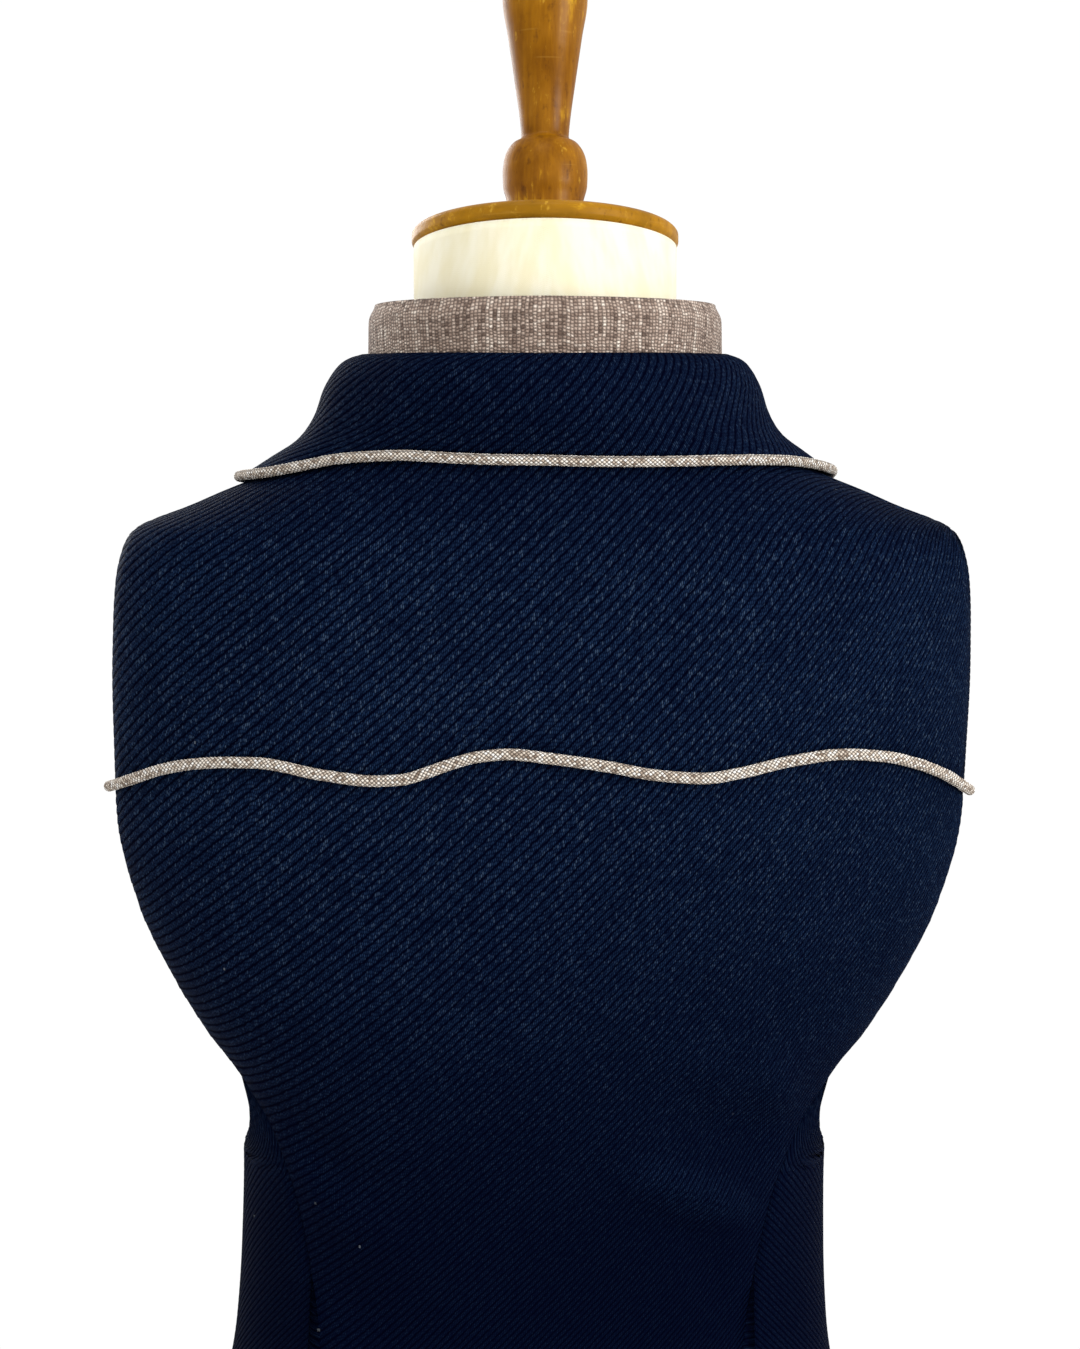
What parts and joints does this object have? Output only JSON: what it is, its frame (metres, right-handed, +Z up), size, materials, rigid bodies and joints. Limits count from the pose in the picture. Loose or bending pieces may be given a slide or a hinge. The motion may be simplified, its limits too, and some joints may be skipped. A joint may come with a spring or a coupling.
{
  "type": "western vest on a limbless dress form",
  "caption": "Sleeveless western vest with piped yoke and turned-down piped collar, shown on a limbless dress form with a wooden finial and a round base.",
  "frame": {"origin": "centre of the underside of the form's round base", "axes": "+Z up along the form, -Y towards the wearer's front, +X towards the wearer's left"},
  "size_m": [0.4005, 0.27, 0.9466],
  "materials": {
    "navy_cloth": "ribbed diagonal weave, soft sheen",
    "taupe_cloth": "coarse mottled weave, matte",
    "button_horn": "polished",
    "cream_jersey": "fine jersey, matte",
    "stained_wood": "stained and varnished, semi-gloss"
  },
  "bodies": {
    "root": {"back_yoke": "navy_cloth", "back_body": "navy_cloth", "left_front": "navy_cloth", "right_front": "navy_cloth", "collar_fall": "navy_cloth", "collar_stand": "taupe_cloth", "collar_piping": "taupe_cloth", "yoke_piping": "taupe_cloth", "button_1": "button_horn", "button_2": "button_horn", "button_3": "button_horn", "button_4": "button_horn", "button_5": "button_horn", "form_torso": "cream_jersey", "neck_cap": "stained_wood", "finial": "stained_wood", "stand_post": "stained_wood", "stand_base": "stained_wood"}
  },
  "joints": []
}
